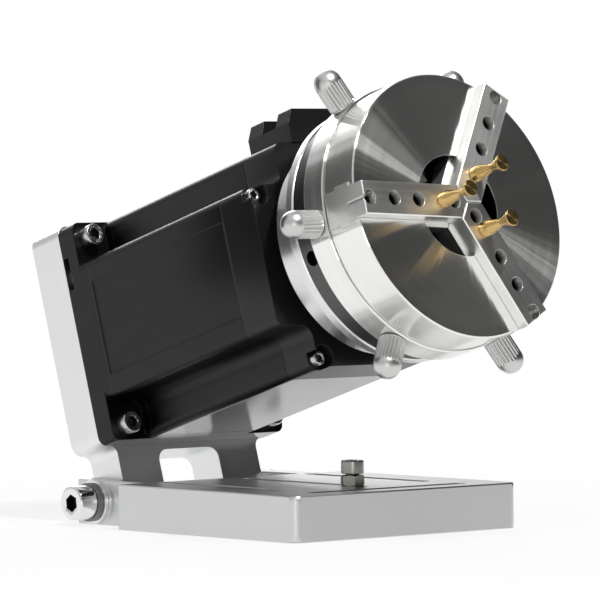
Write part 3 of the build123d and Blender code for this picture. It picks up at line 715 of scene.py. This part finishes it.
dress(plain_metal("oiled_spring_steel", (0.20, 0.20, 0.21), 0.36), "hinge_spring_washer_pair")
dress(plain_metal("lock_steel", (0.36, 0.35, 0.32), 0.30), "lock_bolt_m5", "lock_nut_m5")
dress(plain_metal("screw_steel", (0.56, 0.56, 0.56), 0.22), "flange_screws_m5",
      "tie_screws_m3", "outlet_screws_m3", "flange_key", "adapter_screws", "chuck_body_screws")
dress(plain_metal("chromed_steel", (0.82, 0.82, 0.83), 0.10, 0.04),
      "hinge_bolt_pair", "hinge_flat_washer_pair")
dress(plain_metal("knob_chrome", (0.66, 0.66, 0.65), 0.37, 0.04), "key_knobs")
dress(plain_metal("shaft_steel", (0.60, 0.60, 0.61), 0.25), "hollow_shaft", "bearing_outer_races",
      "bearing_inner_races")
dress(plain_metal("ball_steel", (0.80, 0.80, 0.81), 0.08, 0.03), "bearing_balls")
dress(plain_metal("lamination_steel", (0.30, 0.29, 0.28), 0.45), "stator_core", "rotor")
dress(plain_metal("enamelled_copper", (0.72, 0.34, 0.18), 0.30), "stator_coils")
for k, foot in enumerate(peg_feet):
    brass = turned_steel("turned_brass_%d" % (k + 1), (0.68, 0.47, 0.19), 0.24, 0.9, 0.1 * MM, foot)
    dress(brass, "brass_peg_%d" % (k + 1))

# %% [markdown]
# ## The black motor
# The motor's housing is an extruded aluminium section, etched and dyed black. It is not a
# metal to the eye: a dark body with a satin surface. Extruding leaves faint lines along
# the motor, so the pattern is stretched along the spindle, and the die-cast ends have an
# even grain in place of lines.

# %% Satin black
UNDERSIDE = -42.9 * MM


def satin_black(name, metallic, along, roughness, colour, under=None, grain=0.000004, edge=0.5 * MM):
    """Dark skin; the grain is stretched along the motor by the factor `along`. Below the
    station `under` of the motor's own up axis the skin is smoother and painted six times lighter, a
    painted sheen for the underside's grazing reflection."""
    skin = Finish(name, colour, metallic, roughness, ior=1.4)
    place = skin.place(on_head=True)
    lines = skin.noise(skin.place((1400.0 / along, 1400.0, 1400.0), True), 1.0)
    both = skin.add(lines, skin.noise(place, 40.0))
    skin.shade(skin.ranged(both, 0, 1), 0.9, 1.12)
    rough = skin.ranged(both, roughness - 0.03, roughness + 0.05)
    if under is not None:
        below = skin.below(skin.split(place)[2], under)
        # Painted sheen: the underside is painted six times lighter than the black.
        skin.paint_light(below, [min(6.0 * c, 1) for c in colour])
        rough = skin.calc("MULTIPLY_ADD", below, 0.16 - roughness, rough)
    skin.matt(rough)
    skin.relief(lines, grain, skin.rounded_edges(edge))
    return skin


housing_black = satin_black("extruded_black", 1.0, 40.0, 0.36, (0.036, 0.036, 0.036),
                            UNDERSIDE, 0.0000012, 0.9 * MM)
dress(housing_black, "motor_housing")
flange_black = satin_black("flange_black", 1.0, 4.0, 0.34, (0.034, 0.034, 0.034), UNDERSIDE, 0.000001)
dress(flange_black, "motor_flange")
cast_black = satin_black("cast_black", 0.0, 1.0, 0.30, (0.010, 0.010, 0.011), None, 0.000001)
dress(cast_black, "motor_end_cap", "outlet_block")

# %% Painted shade in the screw sockets
# Painted shade: the insides of the hexagon sockets are painted near black.
painted_socket_shade = satin_black("painted_socket_shade", 0.0, 1.0, 0.5, (0.006, 0.006, 0.006)).material
for name in ("hinge_bolt_pair", "lock_bolt_m5", "flange_screws_m5", "tie_screws_m3", "outlet_screws_m3"):
    PIECES[name].data.materials.append(painted_socket_shade)

# %% [markdown]
# ## Studio
# The photograph has a white sweep, soft light from above and darkness above the
# horizon in front, which the ground faces mirror as a deep grey. The floor and the
# background are white to the camera, and the floor to mirrors too. The room that the metal
# sees is light near the horizon, grey above it and light again on top. A dark screen stands in
# it toward the chuck's front, and a small black flag hangs beside the chuck, seen only in
# reflections: they give the ground faces their deep grey.

# %% Floor
FLOOR_SIZE = 12.0


def card(name, width, height):
    """A rectangle that lies flat round its middle."""
    corners = [(x * width / 2, y * height / 2, 0) for x, y in ((-1, -1), (1, -1), (1, 1), (-1, 1))]
    mesh = bpy.data.meshes.new(name)
    mesh.from_pydata(corners, [], [(0, 1, 2, 3)])
    made = bpy.data.objects.new(name, mesh)
    bpy.context.scene.collection.objects.link(made)
    return made


floor = card("studio_floor", FLOOR_SIZE, FLOOR_SIZE)
floor.location.z = -0.0002

paper = bpy.data.materials.new("pale_paper")
paper.use_nodes = True
tree = paper.node_tree
matt = tree.nodes["Principled BSDF"]
matt.inputs["Base Color"].default_value = (0.86, 0.86, 0.86, 1)
matt.inputs["Roughness"].default_value = 0.9
matt.inputs["Specular IOR Level"].default_value = 0.0
glow = tree.nodes.new("ShaderNodeEmission")
glow.inputs["Color"].default_value = (1, 1, 1, 1)
seen = tree.nodes.new("ShaderNodeLightPath")
either = tree.nodes.new("ShaderNodeMath")
either.operation = "MAXIMUM"
tree.links.new(seen.outputs["Is Camera Ray"], either.inputs[0])
tree.links.new(seen.outputs["Is Glossy Ray"], either.inputs[1])
# The paper is plain white far out, and keeps a quarter of its own shading by the object.
spot = tree.nodes.new("ShaderNodeTexCoord")
reach = tree.nodes.new("ShaderNodeVectorMath")
reach.operation = "LENGTH"
tree.links.new(spot.outputs["Object"], reach.inputs[0])
share = tree.nodes.new("ShaderNodeMapRange")
share.interpolation_type = "SMOOTHSTEP"
for key, number in (("From Min", 0.12), ("From Max", 0.42), ("To Min", 0.78), ("To Max", 1.0)):
    share.inputs[key].default_value = number
tree.links.new(reach.outputs["Value"], share.inputs["Value"])
amount = tree.nodes.new("ShaderNodeMath")
amount.operation = "MULTIPLY"
tree.links.new(either.outputs[0], amount.inputs[0])
tree.links.new(share.outputs["Result"], amount.inputs[1])
blend = tree.nodes.new("ShaderNodeMixShader")
tree.links.new(amount.outputs[0], blend.inputs[0])
tree.links.new(matt.outputs[0], blend.inputs[1])
tree.links.new(glow.outputs[0], blend.inputs[2])
tree.links.new(blend.outputs[0], tree.nodes["Material Output"].inputs["Surface"])
floor.data.materials.append(paper)

# %% World
world = bpy.data.worlds.new("studio")
bpy.context.scene.world = world
world.use_nodes = True
tree = world.node_tree
tree.nodes.clear()
output = tree.nodes.new("ShaderNodeOutputWorld")
ways = tree.nodes.new("ShaderNodeLightPath")
direction = tree.nodes.new("ShaderNodeTexCoord")
parts = tree.nodes.new("ShaderNodeSeparateXYZ")
tree.links.new(direction.outputs["Generated"], parts.inputs[0])


def ramp_of(source, stops):
    """A grey ramp with (position, level) stops, driven by source."""
    ramp = tree.nodes.new("ShaderNodeValToRGB")
    tree.links.new(source, ramp.inputs["Fac"])
    ramp.color_ramp.elements[0].position = stops[0][0]
    ramp.color_ramp.elements[1].position = stops[-1][0]
    for position, _ in stops[1:-1]:
        ramp.color_ramp.elements.new(position)
    for element, (_, level) in zip(ramp.color_ramp.elements, stops):
        element.color = (level, level, level, 1)
    return ramp.outputs["Color"]


# Low down the room is white, above the horizon it is grey, and overhead it is bright again.
ROOM_LEVELS = [(0.0, 0.90), (0.06, 0.88), (0.16, 0.55), (0.32, 0.52), (0.5, 0.62), (1.0, 0.75)]
# A dark screen stands right of the camera, where the ground faces of the chuck look.
SCREEN_TOWARD = Vector((0.60, 0.62, 0.50)).normalized()
SCREEN_LEVELS = [(0.0, 1.0), (0.15, 1.0), (0.60, 0.085), (1.0, 0.085)]
height = ramp_of(parts.outputs["Z"], ROOM_LEVELS)
cosine = tree.nodes.new("ShaderNodeVectorMath")
cosine.operation = "DOT_PRODUCT"
cosine.inputs[1].default_value = SCREEN_TOWARD
tree.links.new(direction.outputs["Generated"], cosine.inputs[0])
screen = ramp_of(cosine.outputs["Value"], SCREEN_LEVELS)
product = tree.nodes.new("ShaderNodeMix")
product.data_type = "RGBA"
product.blend_type = "MULTIPLY"
product.inputs["Factor"].default_value = 1.0
tree.links.new(height, product.inputs[6])
tree.links.new(screen, product.inputs[7])
room = tree.nodes.new("ShaderNodeBackground")
tree.links.new(product.outputs[2], room.inputs["Color"])
room.inputs["Strength"].default_value = 1.0
white = tree.nodes.new("ShaderNodeBackground")
white.inputs["Color"].default_value = (1, 1, 1, 1)
switch = tree.nodes.new("ShaderNodeMixShader")
tree.links.new(ways.outputs["Is Camera Ray"], switch.inputs[0])
tree.links.new(room.outputs[0], switch.inputs[1])
tree.links.new(white.outputs[0], switch.inputs[2])
tree.links.new(switch.outputs[0], output.inputs[0])

# %% Lamps
SMALL_LAMP = (0.05, 0.05)
# How far the two small lamps stand from the chuck's face, in metres.
LAMP_REACH = 1.3


def soft_light(name, place, watts, size, aim=(0.0, 0.0, 0.08)):
    """A rectangular area lamp at place that faces the point aim."""
    data = bpy.data.lights.new(name, "AREA")
    data.shape = "RECTANGLE"
    data.size, data.size_y = size
    data.energy = watts
    lamp = bpy.data.objects.new(name, data)
    bpy.context.scene.collection.objects.link(lamp)
    lamp.location = place
    lamp.rotation_mode = "QUATERNION"
    lamp.rotation_quaternion = (Vector(aim) - Vector(place)).to_track_quat("-Z", "Y")


face_centre = head_place(173.1, 0, 0)
key_at = face_centre + LAMP_REACH * np.array([0.52, -0.10, 0.85])
second_at = face_centre + LAMP_REACH * np.array([0.40, 0.10, 0.91])
soft_light("key_light", key_at, 11.0, SMALL_LAMP, face_centre)
soft_light("second_light", second_at, 3.0, SMALL_LAMP, face_centre)
soft_light("back_softbox", (-1.2, 0.6, 0.9), 8.0, (0.8, 0.8))
soft_light("camera_softbox", (2.2, -1.95, 0.35), 4.0, (0.5, 0.9))

# %% A black flag beside the chuck
FLAG_AT = Vector((-0.022, -0.104, 0.152))
FLAG_AIM = Vector((0.08, -0.048, 0.13))
flag = card("black_flag", 0.085, 0.125)
flag.location = FLAG_AT
flag.rotation_mode = "QUATERNION"
flag.rotation_quaternion = (FLAG_AIM - FLAG_AT).to_track_quat("Z", "Y")
flag.visible_camera = False
flag.visible_diffuse = False
flag.visible_shadow = False
cloth = bpy.data.materials.new("black_cloth")
cloth.use_nodes = True
cloth.node_tree.nodes["Principled BSDF"].inputs["Base Color"].default_value = (0.02, 0.02, 0.02, 1)
cloth.node_tree.nodes["Principled BSDF"].inputs["Roughness"].default_value = 1.0
flag.data.materials.append(cloth)

# %% [markdown]
# ## Camera
# A long lens keeps the lines of the base nearly parallel. Its direction, distance and
# slight roll were found by matching measured corners of the base, motor and chuck.

# %% Camera
AZIMUTH, ELEVATION, ROLL = (math.radians(v) for v in (48.247, 1.639, -0.289))
DISTANCE = 1.9561
TARGET = Vector((-0.0099, 0.0, 0.0855))
LENS, SENSOR = 312.5, 36.0
back = Vector((math.sin(AZIMUTH) * math.cos(ELEVATION), -math.cos(AZIMUTH) * math.cos(ELEVATION),
               math.sin(ELEVATION)))
right = Vector((math.cos(AZIMUTH), math.sin(AZIMUTH), 0))
above = back.cross(right)
turned_right = math.cos(ROLL) * right + math.sin(ROLL) * above
turned_up = math.cos(ROLL) * above - math.sin(ROLL) * right
camera_data = bpy.data.cameras.new("camera")
camera_data.lens = LENS
camera_data.sensor_width = SENSOR
camera_data.clip_end = 50.0
camera = bpy.data.objects.new("camera", camera_data)
bpy.context.scene.collection.objects.link(camera)
camera.matrix_world = Matrix.Translation(TARGET + DISTANCE * back) @ Matrix(
    (turned_right, turned_up, back)).transposed().to_4x4()
bpy.context.scene.camera = camera
bpy.context.scene.view_settings.view_transform = "Standard"
